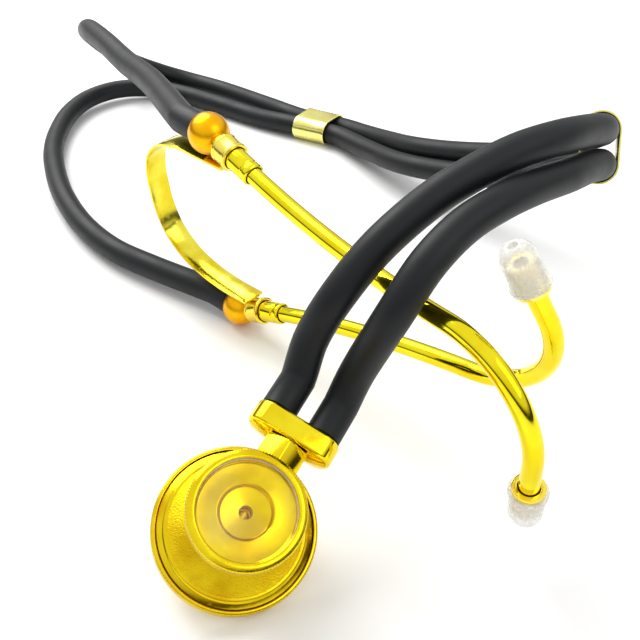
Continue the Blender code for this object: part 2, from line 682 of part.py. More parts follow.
def clip(name, centre, axis, side_way):
    """A band that holds the two hoses side by side."""
    length = 2.0 * (PAIR_HALF + HOSE_R + CLIP_GAP)
    width = 2.0 * (HOSE_R + CLIP_GAP)
    outer = stadium(length + 2.0 * CLIP_WALL, width + 2.0 * CLIP_WALL, 8)
    made = plate(name, [outer, stadium(length, width, 8)], CLIP_LENGTH, "spring_gold", None)
    across = axis.cross(side_way)
    made.matrix_world = axes_matrix(centre + SHIFT, axis, across)


def main():
    """Build every sub-part."""
    chest_place = axes_matrix(CHEST_CENTRE + SHIFT, CHEST_AXIS, STEM_AXIS)
    head = empty("chest_head_frame", chest_place)
    stem = empty("stem_frame", chest_place)
    valve_drum(head)
    click_stop(head)
    large_head(head)
    large_ring(head)
    small_head(head)
    small_ring(head)
    valve_stem(stem)
    hex_collar(stem)
    hose_connector(stem)

    across = HEADSET_ACROSS.normalized()
    forward = (HEADSET_FORWARD - HEADSET_FORWARD.dot(across) * across).normalized()
    headset = axes_matrix(HEADSET_CENTRE + SHIFT, across.cross(forward), forward)
    left_ball = arm("left", headset)
    right_ball = arm("right", headset)
    leaf_spring(headset)

    hose("hose_a", hose_route(1.0, chest_place, *left_ball))
    hose("hose_b", hose_route(-1.0, chest_place, *right_ball))
    clip("front_clip", CLIP_1_CENTRE, CLIP_1_AXIS, CLIP_1_SIDE)
    clip("rear_clip", CLIP_2_CENTRE, CLIP_2_AXIS, CLIP_2_SIDE)


clear_scene()
PARTS = new_collection("stethoscope")
CUTTERS = new_collection("cutters")
main()
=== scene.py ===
"""A double-sided stethoscope, lying on a pale table as it was put down.

The chestpiece leans on its large ring, its two rubber hoses arch back through two
clips and round to the headset, whose crossed ear tubes a leaf spring draws together.
Lengths are in millimetres in the classes, and are scaled to metres by MM.
"""

import json
import logging
import math
from dataclasses import dataclass, field
from enum import Enum

import bmesh
import bpy
from mathutils import Matrix, Vector


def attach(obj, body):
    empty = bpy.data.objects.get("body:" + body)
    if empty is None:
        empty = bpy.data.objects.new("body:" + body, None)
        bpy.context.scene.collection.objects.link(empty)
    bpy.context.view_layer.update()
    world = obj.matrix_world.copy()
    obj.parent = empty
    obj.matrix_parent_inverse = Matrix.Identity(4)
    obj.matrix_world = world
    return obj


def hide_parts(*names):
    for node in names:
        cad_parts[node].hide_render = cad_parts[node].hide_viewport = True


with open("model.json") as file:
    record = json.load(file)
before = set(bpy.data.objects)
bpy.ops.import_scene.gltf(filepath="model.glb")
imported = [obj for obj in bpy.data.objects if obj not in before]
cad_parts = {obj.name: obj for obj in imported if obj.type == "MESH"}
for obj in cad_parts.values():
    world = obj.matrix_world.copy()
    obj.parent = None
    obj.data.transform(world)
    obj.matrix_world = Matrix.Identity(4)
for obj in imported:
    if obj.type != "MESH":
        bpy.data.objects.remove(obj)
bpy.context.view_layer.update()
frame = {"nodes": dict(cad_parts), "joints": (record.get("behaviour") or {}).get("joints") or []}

MM = 0.001
GAP = 0.3          # clearance between pieces that touch, in millimetres
LOG = logging.getLogger("stethoscope")

Profile = list[tuple[float, float]]


# ---- shader building ------------------------------------------------------------
class Num:
    """A number that varies over a surface, with maths written as expressions."""

    def __init__(self, paint: "Paint", socket: bpy.types.NodeSocket) -> None:
        """Wrap a socket of the given paint's node tree."""
        self.paint = paint
        self.socket = socket

    def maths(self, operation: str, first: object, second: object = 0.0) -> "Num":
        """Add a Math node.

        Args:
            operation: the node's operation.
            first: its first value or link.
            second: its second value or link.

        Returns:
            The node's result.
        """
        node = self.paint.node("ShaderNodeMath", {"operation": operation},
                               {0: first, 1: second})
        return Num(self.paint, node.outputs[0])

    def __add__(self, other: object) -> "Num":
        """Return self + other."""
        return self.maths("ADD", self, other)

    def __radd__(self, other: object) -> "Num":
        """Return other + self."""
        return self.maths("ADD", other, self)

    def __rsub__(self, other: object) -> "Num":
        """Return other - self."""
        return self.maths("SUBTRACT", other, self)

    def __mul__(self, other: object) -> "Num":
        """Return self * other."""
        return self.maths("MULTIPLY", self, other)

    def __rmul__(self, other: object) -> "Num":
        """Return other * self."""
        return self.maths("MULTIPLY", other, self)

    def sine(self) -> "Num":
        """Return the sine."""
        return self.maths("SINE", self)

    def root(self) -> "Num":
        """Return the square root."""
        return self.maths("SQRT", self)

    def angle_with(self, across: "Num") -> "Num":
        """Return the angle whose tangent is self over across."""
        return self.maths("ARCTAN2", self, across)

    def between(self, low: float, high: float) -> "Num":
        """Return 0 below low and 1 above high, with a smooth step between."""
        node = self.paint.node("ShaderNodeMapRange", {"interpolation_type": "SMOOTHSTEP"},
                               {"Value": self, "From Min": low, "From Max": high})
        return Num(self.paint, node.outputs["Result"])


class Paint:
    """One procedural material and its node tree."""

    def __init__(self, name: str) -> None:
        """Start a material with nothing but its shader and output."""
        self.material = bpy.data.materials.new(name)
        self.material.use_nodes = True
        self.tree = self.material.node_tree
        self.shader = self.tree.nodes["Principled BSDF"]
        self.position = self.node("ShaderNodeTexCoord", {}, {}).outputs["Object"]

    def node(self, kind: str, settings: dict[str, object],
             sockets: dict[object, object]) -> bpy.types.Node:
        """Add a node.

        Args:
            kind: the node's type.
            settings: its properties, set first.
            sockets: the value or link of each input, by name or number.

        Returns:
            The new node.
        """
        made = self.tree.nodes.new(kind)
        for key, value in settings.items():
            setattr(made, key, value)
        for key, value in sockets.items():
            source = value.socket if isinstance(value, Num) else value
            if isinstance(source, bpy.types.NodeSocket):
                self.tree.links.new(source, made.inputs[key])
            else:
                made.inputs[key].default_value = source
        return made

    def feed(self, name: str, value: object) -> None:
        """Link or set an input of the shader."""
        source = value.socket if isinstance(value, Num) else value
        if isinstance(source, bpy.types.NodeSocket):
            self.tree.links.new(source, self.shader.inputs[name])
        else:
            self.shader.inputs[name].default_value = source

    def noise(self, scale: float, detail: float = 4.0, vector: object = None) -> Num:
        """Return noise whose grains are 1 / scale metres apart."""
        made = self.node("ShaderNodeTexNoise", {}, {
            "Vector": vector or self.position, "Scale": scale, "Detail": detail})
        return Num(self, made.outputs["Fac"])

    def pits(self, scale: float) -> Num:
        """Return the distance to the nearest of scattered points."""
        made = self.node("ShaderNodeTexVoronoi", {}, {"Vector": self.position, "Scale": scale})
        return Num(self, made.outputs["Distance"])

    def blend(self, share: object, low: tuple[float, ...], high: tuple[float, ...]) -> object:
        """Return a colour between two, by a share from 0 to 1."""
        made = self.node("ShaderNodeMix", {"data_type": "RGBA"}, {
            "Factor": share, 6: (*low, 1.0), 7: (*high, 1.0)})
        return made.outputs[2]

    def bump(self, height: object, strength: float, depth: float) -> None:
        """Raise the surface by a height, up to depth in metres."""
        made = self.node("ShaderNodeBump", {}, {
            "Strength": strength, "Distance": depth, "Height": height})
        self.feed("Normal", made.outputs["Normal"])

    def local(self, place: Matrix) -> tuple[Num, Num, Num]:
        """Return a point's coordinates in a placement's own axes, in metres."""
        turned = self.node("ShaderNodeMapping", {"vector_type": "TEXTURE"}, {
            "Vector": self.position, "Location": place.translation,
            "Rotation": place.to_euler()})
        split = self.node("ShaderNodeSeparateXYZ", {}, {"Vector": turned.outputs["Vector"]})
        return tuple(Num(self, split.outputs[axis]) for axis in "XYZ")


class Edge(Enum):
    """How a metal's rim is worked."""

    PLAIN = 0
    KNURLED = 1
    STIPPLED = 2
    TURNED = 3


@dataclass(frozen=True)
class GoldPlate:
    """Gold plating, polished or worked, with fine wear."""

    name: str
    light: tuple[float, float, float] = (0.95, 0.76, 0.020)
    deep: tuple[float, float, float] = (0.86, 0.62, 0.008)
    roughness: float = 0.09
    edge: Edge = Edge.PLAIN
    teeth: int = 150
    band: tuple[float, float] = (0.0, 0.0)      # radii between which the finish is worked

    def material(self, place: Matrix | None = None) -> bpy.types.Material:
        """Build the material.

        Args:
            place: the placement whose Z axis a worked finish runs round.

        Returns:
            The material.
        """
        paint = Paint(self.name)
        cloud = paint.noise(90.0, 3.0)
        scratches = paint.noise(2600.0, 2.0)
        grime = paint.noise(420.0, 6.0).between(0.55, 0.78)
        tint = cloud.between(0.35, 0.68)
        paint.feed("Base Color", paint.blend(tint, self.deep, self.light))
        paint.feed("Metallic", 1.0)
        rough = self.roughness + 0.05 * tint + 0.12 * grime
        height = scratches * 0.25 + cloud * 0.2
        depth = 0.00002
        if place is not None and self.edge is not Edge.PLAIN:
            x, y, z = paint.local(place)
            radius = (x * x + y * y).root()
            if self.edge is Edge.KNURLED:
                round_it = (y.angle_with(x) * float(self.teeth)).sine()
                along = (z * (2.0 * math.pi / 0.0011)).sine()
                worked = radius.between(self.band[0] * MM, self.band[1] * MM)
                height = height + round_it * along * worked
                depth = 0.00012
                rough = rough + 0.10 * worked
            elif self.edge is Edge.STIPPLED:
                inside = radius.between(self.band[0] * MM, (self.band[0] + 0.7) * MM)
                outside = 1.0 - radius.between((self.band[1] - 0.7) * MM, self.band[1] * MM)
                worked = inside * outside
                grains = paint.pits(2300.0) * 0.7 + paint.noise(1700.0, 3.0) * 0.8
                height = height * 0.3 + grains * worked * 2.0
                depth = 0.00009
                rough = rough + 0.24 * worked
            else:
                rings = (radius * (2.0 * math.pi / 0.00042)).sine()
                height = height + rings * 0.35
                depth = 0.000012
                rough = rough + 0.05
        paint.feed("Roughness", rough)
        paint.bump(height, 0.8, depth)
        return paint.material


@dataclass(frozen=True)
class HoseRubber:
    """Matt black rubber with a bloom and fine mould grain."""

    name: str = "hose_rubber"
    dark: tuple[float, float, float] = (0.0016, 0.0024, 0.0034)
    bloom: tuple[float, float, float] = (0.0050, 0.0075, 0.0100)

    def material(self) -> bpy.types.Material:
        """Build the material."""
        paint = Paint(self.name)
        cloud = paint.noise(70.0, 5.0).between(0.35, 0.75)
        grain = paint.noise(3200.0, 3.0)
        dust = paint.noise(900.0, 8.0).between(0.66, 0.78)
        paint.feed("Base Color", paint.blend(cloud * 0.6 + dust * 0.4, self.dark, self.bloom))
        paint.feed("Roughness", 0.42 + 0.10 * cloud + 0.10 * grain)
        paint.feed("Specular IOR Level", 0.32)
        paint.feed("Sheen Weight", 0.03)
        paint.feed("Sheen Roughness", 0.45)
        paint.bump(grain + cloud * 0.5, 0.45, 0.00005)
        return paint.material


@dataclass(frozen=True)
class ClearSoft:
    """Translucent soft vinyl or clear film."""

    name: str
    colour: tuple[float, float, float]
    milk: tuple[float, float, float]
    roughness: float
    alpha: float
    transmission: float
    grain: float = 500.0

    def material(self) -> bpy.types.Material:
        """Build the material."""
        paint = Paint(self.name)
        cloud = paint.noise(self.grain, 4.0)
        haze = cloud.between(0.4, 0.7)
        paint.feed("Base Color", paint.blend(haze, self.colour, self.milk))
        paint.feed("Roughness", self.roughness + 0.12 * haze)
        paint.feed("Alpha", self.alpha + 0.06 * haze)
        paint.feed("Transmission Weight", self.transmission)
        paint.feed("IOR", 1.38)
        paint.bump(cloud, 0.3, 0.00001)
        return paint.material


@dataclass(frozen=True)
class PlainHard:
    """A small hidden piece's finish: steel, or a gasket's plastic."""

    name: str
    colour: tuple[float, float, float]
    worn: tuple[float, float, float]
    metallic: float
    roughness: float

    def material(self) -> bpy.types.Material:
        """Build the material."""
        paint = Paint(self.name)
        cloud = paint.noise(700.0, 5.0)
        paint.feed("Base Color", paint.blend(cloud.between(0.4, 0.7), self.colour, self.worn))
        paint.feed("Metallic", self.metallic)
        paint.feed("Roughness", self.roughness + 0.15 * cloud)
        paint.bump(cloud, 0.3, 0.00003)
        return paint.material


# ---- modelling helpers ----------------------------------------------------------
def fresh_start() -> None:
    """Leave edit mode and deselect everything."""
    if bpy.context.object and bpy.context.object.mode != "OBJECT":
        bpy.ops.object.mode_set(mode="OBJECT")
    bpy.ops.object.select_all(action="DESELECT")


def axes_matrix(place: Vector, along_z: Vector, along_y: Vector) -> Matrix:
    """Return the placement at a point whose Z is along_z and whose Y leans to along_y."""
    z = along_z.normalized()
    y = (along_y - along_y.dot(z) * z).normalized()
    turn = Matrix((y.cross(z), y, z)).transposed().to_4x4()
    return Matrix.Translation(place) @ turn


def lay_down(place: Matrix) -> Matrix:
    """Return a placement whose Z runs along the given one's Y."""
    return place @ Matrix.Rotation(math.radians(-90.0), 4, "X")


def settle(piece: bpy.types.Object, name: str, place: Matrix) -> bpy.types.Object:
    """Name a piece and bring its mesh to its place, leaving its object at the origin."""
    piece.name = name
    piece.data.name = name
    piece.data.transform(place)
    piece.data.update()
    return piece


def apply_modifiers(piece: bpy.types.Object) -> None:
    """Apply a piece's modifiers in their order."""
    fresh_start()
    piece.select_set(True)
    bpy.context.view_layer.objects.active = piece
    for modifier in list(piece.modifiers):
        bpy.ops.object.modifier_apply(modifier=modifier.name)


def smooth(piece: bpy.types.Object, degrees: float = 35.0) -> None:
    """Shade a piece smooth, with sharp edges past an angle."""
    fresh_start()
    piece.select_set(True)
    bpy.context.view_layer.objects.active = piece
    bpy.ops.object.shade_smooth_by_angle(angle=math.radians(degrees))


def mend(piece: bpy.types.Object) -> None:
    """Merge a piece's doubled points and turn its faces outwards."""
    fresh_start()
    bpy.context.view_layer.objects.active = piece
    bpy.ops.object.mode_set(mode="EDIT")
    bpy.ops.mesh.select_all(action="SELECT")
    bpy.ops.mesh.remove_doubles(threshold=0.000002)
    bpy.ops.mesh.normals_make_consistent(inside=False)
    bpy.ops.object.mode_set(mode="OBJECT")


def add_bevel(piece: bpy.types.Object, width: float, segments: int = 3) -> None:
    """Round a piece's sharp edges, width in millimetres, and apply it."""
    rounding = piece.modifiers.new("edges", "BEVEL")
    rounding.width = width * MM
    rounding.segments = segments
    rounding.limit_method = "ANGLE"
    rounding.angle_limit = math.radians(35.0)
    apply_modifiers(piece)


def add_ring(steps: int, radius: float, height: float, filled: bool,
             turn: float = 0.0) -> bpy.types.Object:
    """Add a circle across Z and open it in edit mode, with all of it selected.

    Args:
        steps: how many points go round it.
        radius: its radius in millimetres.
        height: how high it lies, in millimetres.
        filled: whether a face closes it.
        turn: how far it is turned about Z.

    Returns:
        The circle, at its size and place.
    """
    fresh_start()
    bpy.ops.mesh.primitive_circle_add(
        vertices=steps, radius=radius * MM, location=(0.0, 0.0, height * MM),
        rotation=(0.0, 0.0, turn), fill_type="NGON" if filled else "NOTHING")
    piece = bpy.context.object
    bpy.ops.object.transform_apply(location=True, rotation=True, scale=False)
    bpy.ops.object.mode_set(mode="EDIT")
    bpy.ops.mesh.select_all(action="SELECT")
    return piece


def extend(rise: float, grow_x: float, grow_y: float) -> None:
    """Extrude the selection up Z by millimetres, and resize it about the Z axis."""
    bpy.ops.mesh.extrude_region_move(TRANSFORM_OT_translate={"value": (0.0, 0.0, rise * MM)})
    bpy.ops.transform.resize(value=(grow_x, grow_y, 1.0), center_override=(0.0, 0.0, 0.0))


def part_halves(piece: bpy.types.Object, reach: float) -> None:
    """Move a ring's two halves apart along X by reach millimetres each, and select it all."""
    for side in (-1.0, 1.0):
        bpy.ops.mesh.select_all(action="DESELECT")
        cage = bmesh.from_edit_mesh(piece.data)
        for vertex in cage.verts:
            vertex.select = vertex.co.x * side > 0.0
        cage.select_flush_mode()
        bmesh.update_edit_mesh(piece.data)
        bpy.ops.transform.translate(value=(side * reach * MM, 0.0, 0.0))
    bpy.ops.mesh.select_all(action="SELECT")


def filleted(profile: Profile, radius: float, closed: bool) -> Profile:
    """Round the corners of a profile.

    Args:
        profile: (radius, height) points in millimetres.
        radius: the largest rounding, shortened where a side is short.
        closed: whether the last point joins the first.

    Returns:
        The profile with each corner as three points.
    """
    points = [Vector(point) for point in profile]
    count = len(points)
    rounded: Profile = []
    for i, corner in enumerate(points):
        if not closed and i in (0, count - 1):
            rounded.append(tuple(corner))
            continue
        before, after = points[i - 1], points[(i + 1) % count]
        back, ahead = before - corner, after - corner
        reach = min(radius, 0.4 * back.length, 0.4 * ahead.length)
        if reach < 0.01 or back.angle(ahead) > math.radians(165.0):
            rounded.append(tuple(corner))
            continue
        first = corner + back.normalized() * reach
        last = corner + ahead.normalized() * reach
        middle = (first + last + 2.0 * corner) / 4.0
        rounded += [tuple(first), tuple(middle), tuple(last)]
    return rounded


def turned(name: str, profile: Profile, place: Matrix, steps: int = 96,
           fillet: float = 0.15) -> bpy.types.Object:
    """Turn a piece on a lathe: a ring is added, extruded and resized along a profile.

    Args:
        name: the piece's name.
        profile: (radius, height) points in millimetres, round the piece's section. A
            profile that starts and ends on the axis gives a solid, and any other closes
            on itself.
        place: where its own axes stand.
        steps: how many points go round it.
        fillet: the rounding of its corners.

    Returns:
        The piece, with its mesh in place.
    """
    solid = profile[0][0] == 0.0
    shape = filleted(profile, fillet, not solid)
    if solid:
        shape = shape[1:-1]
    else:
        shape = shape + shape[:1]
    piece = add_ring(steps, shape[0][0], shape[0][1], solid)
    for (radius, height), (next_radius, next_height) in zip(shape, shape[1:]):
        extend(next_height - height, next_radius / radius, next_radius / radius)
    bpy.ops.object.mode_set(mode="OBJECT")
    mend(piece)
    settle(piece, name, place)
    smooth(piece)
    return piece


def drill(piece: bpy.types.Object, place: Matrix, radius: float, ends: tuple,
          steps: int = 40) -> None:
    """Cut a round bore in a piece.

    Args:
        piece: the piece, in its place.
        place: the axes that the bore is given in.
        radius: the bore's radius in millimetres.
        ends: the bore's two end points in those axes, in millimetres.
        steps: how many faces go round it.
    """
    first, last = (Vector(point) for point in ends)
    way = last - first
    fresh_start()
    bpy.ops.mesh.primitive_cylinder_add(vertices=steps, radius=radius * MM,
                                        depth=way.length * MM)
    bit = bpy.context.object
    bit.data.transform(place @ Matrix.Translation(0.5 * (first + last) * MM)
                       @ way.to_track_quat("Z", "Y").to_matrix().to_4x4())
    cut = piece.modifiers.new("bore", "BOOLEAN")
    cut.operation = "DIFFERENCE"
    cut.solver = "EXACT"
    cut.object = bit
    apply_modifiers(piece)
    bpy.data.objects.remove(bit, do_unlink=True)


def swept_strip(name: str, path: list[Vector], width: float, thickness: float,
                place: Matrix) -> bpy.types.Object:
    """Extrude an upright edge along a flat path, and give the strip its thickness.

    Args:
        name: the piece's name.
        path: points in the XY plane, in millimetres.
        width: the strip's width along Z.
        thickness: the strip's thickness.
        place: where its own axes stand.

    Returns:
        The piece, with its mesh in place.
    """
    fresh_start()
    half = 0.5 * width * MM
    bpy.ops.mesh.primitive_plane_add(size=width * MM, rotation=(math.radians(90.0), 0.0, 0.0))
    piece = bpy.context.object
    bpy.ops.object.transform_apply(location=False, rotation=True, scale=False)
    bpy.ops.object.mode_set(mode="EDIT")
    for side, point in ((-1.0, path[0]), (1.0, path[1])):
        bpy.ops.mesh.select_all(action="DESELECT")
        cage = bmesh.from_edit_mesh(piece.data)
        for vertex in cage.verts:
            vertex.select = vertex.co.x * side > 0.9 * half and abs(vertex.co.y) < 0.01 * half
        cage.select_flush_mode()
        bmesh.update_edit_mesh(piece.data)
        move = point * MM - Vector((side * half, 0.0, 0.0))
        bpy.ops.transform.translate(value=move)
    for point, after in zip(path[1:], path[2:]):
        bpy.ops.mesh.extrude_region_move(TRANSFORM_OT_translate={"value": (after - point) * MM})
    bpy.ops.object.mode_set(mode="OBJECT")
    shell = piece.modifiers.new("leaf", "SOLIDIFY")
    shell.thickness = thickness * MM
    shell.offset = 0.0
    shell.use_even_offset = True
    apply_modifiers(piece)
    mend(piece)
    add_bevel(piece, 0.2, 2)
    settle(piece, name, place)
    smooth(piece)
    return piece


def smooth_path(points: list[Vector], spacing: float, straight: int = 0) -> list[Vector]:
    """Read evenly spaced points from a smooth curve through the given ones.

    Args:
        points: the curve's own points.
        spacing: about how far apart the points are read.
        straight: how many stretches at each end are straight.

    Returns:
        The points along the curve.
    """
    padded = [2.0 * points[0] - points[1]] + points + [2.0 * points[-1] - points[-2]]
    fine = []
    for i in range(1 + straight, len(padded) - 2 - straight):
        p0, p1, p2, p3 = padded[i - 1:i + 3]
        for k in range(20):
            t = k / 20.0
            fine.append(0.5 * (2.0 * p1 + (p2 - p0) * t
                               + (2.0 * p0 - 5.0 * p1 + 4.0 * p2 - p3) * t ** 2
                               + (3.0 * p1 - p0 - 3.0 * p2 + p3) * t ** 3))
    fine.append(points[-1 - straight])
    lengths = [0.0]
    for before, after in zip(fine, fine[1:]):
        lengths.append(lengths[-1] + (after - before).length)
    count = max(2, round(lengths[-1] / spacing))
    even = []
    step = 0
    for i in range(count + 1):
        goal = lengths[-1] * i / count
        while step < len(fine) - 2 and lengths[step + 1] < goal:
            step += 1
        share = (goal - lengths[step]) / (lengths[step + 1] - lengths[step])
        even.append(fine[step].lerp(fine[step + 1], min(1.0, share)))
    if straight:
        even = [points[0]] + even + [points[-1]]
    return even


def path_length(path: list[Vector]) -> float:
    """Return the length of a line of points."""
    return sum((after - before).length for before, after in zip(path, path[1:]))


def round_line(name: str, path: list[Vector], radius: float, sides: int) -> bpy.types.Object:
    """Add a round curve along points.

    Args:
        name: the curve's name.
        path: its points in metres.
        radius: its radius in millimetres.
        sides: how many faces go round it.

    Returns:
        The curve object.
    """
    data = bpy.data.curves.new(name, "CURVE")
    data.dimensions = "3D"
    data.twist_mode = "MINIMUM"
    data.bevel_depth = radius * MM
    data.bevel_resolution = sides // 2 - 2
    data.use_fill_caps = True
    spline = data.splines.new("POLY")
    spline.points.add(len(path) - 1)
    for slot, point in zip(spline.points, path):
        slot.co = (*point, 1.0)
    spline.use_smooth = True
    made = bpy.data.objects.new(name, data)
    bpy.context.scene.collection.objects.link(made)
    return made


def as_mesh(curve: bpy.types.Object) -> bpy.types.Object:
    """Turn a curve object into a mesh object with welded caps."""
    fresh_start()
    curve.select_set(True)
    bpy.context.view_layer.objects.active = curve
    bpy.ops.object.convert(target="MESH")
    piece = bpy.context.object
    mend(piece)
    smooth(piece)
    return piece


def finish_piece(piece: bpy.types.Object, look: bpy.types.Material, body: str,
                 nodes: tuple[str, ...]) -> bpy.types.Object:
    """Dress a piece and hand it to the frame.

    Args:
        piece: the finished piece.
        look: its material.
        body: the body it rides on, or nothing to leave it unattached.
        nodes: the CAD nodes it stands for.

    Returns:
        The piece.
    """
    piece.data.materials.clear()
    piece.data.materials.append(look)
    if body:
        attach(piece, body)
    if nodes:
        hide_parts(*nodes)
    LOG.info("piece %s stands for %s", piece.name, ", ".join(nodes) or "nothing")
    return piece


def joint(name: str) -> dict[str, object]:
    """Return a joint of the frame by its name."""
    return next(found for found in frame["joints"] if found["name"] == name)


def joint_point(name: str) -> Vector:
    """Return the point that a joint turns about, in metres."""
    return Vector(joint(name)["pos_m"])


def joint_axis(name: str) -> Vector:
    """Return the axis that a joint turns about."""
    return Vector(joint(name)["axis"]).normalized()


# ---- camera, lights and table ---------------------------------------------------
@dataclass
class Studio:
    """The pale table, the soft light and the camera."""

    eye: Vector = field(default_factory=lambda: Vector((-0.00015, -0.22102, 0.20406)))
    tilt: float = math.radians(54.0)
    lens: float = 48.0

    def place_camera(self) -> None:
        """Add the camera."""
        data = bpy.data.cameras.new("camera")
        data.lens = self.lens
        data.sensor_width = 36.0
        data.clip_start = 0.01
        camera = bpy.data.objects.new("camera", data)
        camera.location = self.eye
        camera.rotation_euler = (self.tilt, 0.0, 0.0)
        bpy.context.scene.collection.objects.link(camera)
        bpy.context.scene.camera = camera

    def lay_table(self) -> None:
        """Add the pale table top."""
        fresh_start()
        bpy.ops.mesh.primitive_plane_add(size=80.0, location=(0.0, 0.0, -0.0002))
        table = bpy.context.object
        table.name = "table"
        paint = Paint("table_white")
        cloud = paint.noise(6.0, 4.0)
        paint.feed("Base Color", paint.blend(cloud, (0.90, 0.90, 0.905), (0.93, 0.93, 0.93)))
        paint.feed("Roughness", 0.45 + 0.2 * cloud)
        paint.feed("Specular IOR Level", 0.3)
        table.data.materials.append(paint.material)

    def light(self) -> None:
        """Add a large soft window light, a weak fill and the room."""
        for name, spot, aim, size, power, tint in (
                ("window", (-0.55, 0.75, 0.95), (0.0, 0.05, 0.03), 0.9, 15.0, (1.0, 0.99, 0.97)),
                ("fill", (0.8, -0.5, 0.9), (0.0, 0.05, 0.03), 0.8, 2.6, (0.97, 0.98, 1.0))):
            data = bpy.data.lights.new(name, "AREA")
            data.shape = "SQUARE"
            data.size = size
            data.energy = power
            data.color = tint
            lamp = bpy.data.objects.new(name, data)
            lamp.location = spot
            way = Vector(aim) - Vector(spot)
            lamp.rotation_euler = way.to_track_quat("-Z", "Y").to_euler()
            bpy.context.scene.collection.objects.link(lamp)
        world = bpy.data.worlds.new("room")
        world.use_nodes = True
        tree = world.node_tree
        where = tree.nodes.new("ShaderNodeTexCoord")
        split = tree.nodes.new("ShaderNodeSeparateXYZ")
        ramp = tree.nodes.new("ShaderNodeValToRGB")
        tree.links.new(where.outputs["Generated"], split.inputs["Vector"])
        tree.links.new(split.outputs["Z"], ramp.inputs["Fac"])
        stops = ramp.color_ramp.elements
        stops[0].position = 0.0
        stops[0].color = (0.03, 0.022, 0.015, 1.0)
        stops[1].position = 1.0
        stops[1].color = (1.0, 1.0, 1.0, 1.0)
        for position, shade in ((0.12, 0.05), (0.27, 0.82), (0.62, 0.98)):
            stop = stops.new(position)
            stop.color = (shade, shade, shade, 1.0)
        back = tree.nodes["Background"]
        tree.links.new(ramp.outputs["Color"], back.inputs["Color"])
        back.inputs["Strength"].default_value = 0.95
        bpy.context.scene.world = world
        bpy.context.scene.view_settings.view_transform = "Standard"

    def build(self) -> None:
        """Add everything that isn't the object."""
        self.lay_table()
        self.light()


# ---- placements shared by the sub-assemblies ------------------------------------
@dataclass(frozen=True)
class ArmShape:
    """The shape of one ear tube."""

    side: str
    sign: float
    leg: float
    toe_in: float
    elbow: float
    twist: float


@dataclass
class Setting:
    """Where the chestpiece and the headset stand, read from the frame's joints."""

    bow: float = math.radians(17.0)
    lift: float = math.radians(5.3)
    shapes: tuple[ArmShape, ...] = (
        ArmShape("left", 1.0, 115.0, math.radians(4.2), math.radians(97.0), math.radians(2.0)),
        ArmShape("right", -1.0, 108.0, math.radians(10.9), math.radians(109.0),
                 math.radians(-12.0)))
    chest: Matrix = field(init=False)
    headset: Matrix = field(init=False)
    balls: dict[str, Vector] = field(init=False)
    ahead: dict[str, Vector] = field(init=False)
    level: dict[str, Vector] = field(init=False)

    def __post_init__(self) -> None:
        """Work the placements out."""
        self.chest = axes_matrix(joint_point("chest_swivel"), joint_axis("large_ring_turn"),
                                 joint_axis("chest_swivel"))
        self.balls = {side: joint_point(side + "_arm_open") for side in ("left", "right")}
        across = (self.balls["left"] - self.balls["right"]).normalized()
        normal = joint_axis("right_arm_open")
        middle = 0.5 * (self.balls["left"] + self.balls["right"])
        self.headset = axes_matrix(middle, normal, normal.cross(across))
        self.ahead = {}
        self.level = {}
        for shape in self.shapes:
            heading = shape.toe_in + 0.5 * self.bow
            first = Vector((-math.sin(heading), math.cos(heading), 0.0))
            first = Matrix.Rotation(-shape.sign * self.lift, 3, "X") @ first
            first.x *= shape.sign
            way = (self.headset.to_3x3() @ first).normalized()
            self.ahead[shape.side] = way
            self.level[shape.side] = Vector((way.x, way.y, 0.0)).normalized()


